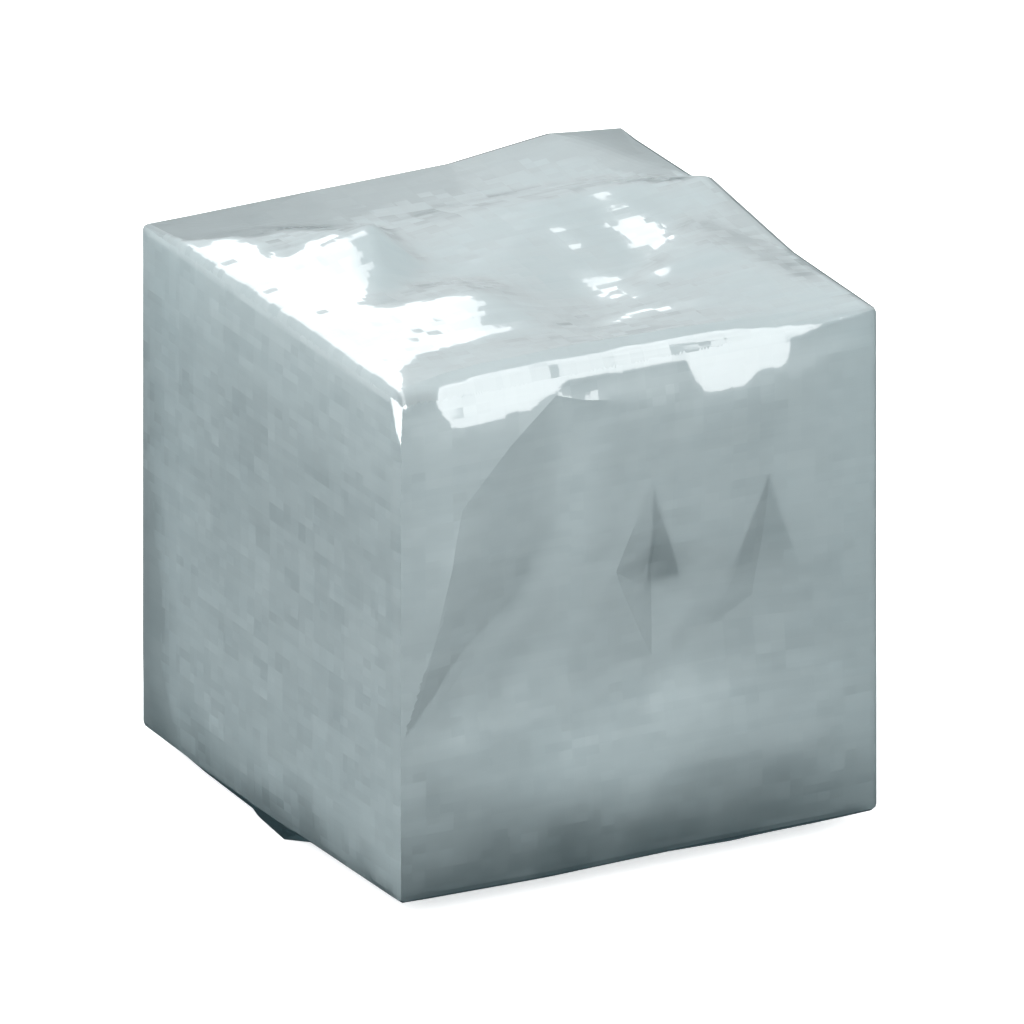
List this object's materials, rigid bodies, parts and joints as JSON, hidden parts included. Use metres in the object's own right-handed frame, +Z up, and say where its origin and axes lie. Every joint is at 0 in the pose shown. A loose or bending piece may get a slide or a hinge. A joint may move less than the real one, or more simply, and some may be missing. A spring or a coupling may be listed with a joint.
{
  "type": "ice block",
  "caption": "Cube of carving ice, partly melted, with a peaked and lumpy top, folded sides and a flat underside to stand on. It cools, chills or dresses a scene.",
  "frame": {"origin": "middle of the block's length and width, on the surface it stands on", "axes": "+Z up; -Y is the face with the long fold, +X is to its right"},
  "size_m": [0.2602, 0.263, 0.2824],
  "materials": {
    "ice": "wet gloss over a cloudy body"
  },
  "bodies": {
    "root": {"ice_block": "ice"}
  },
  "joints": []
}
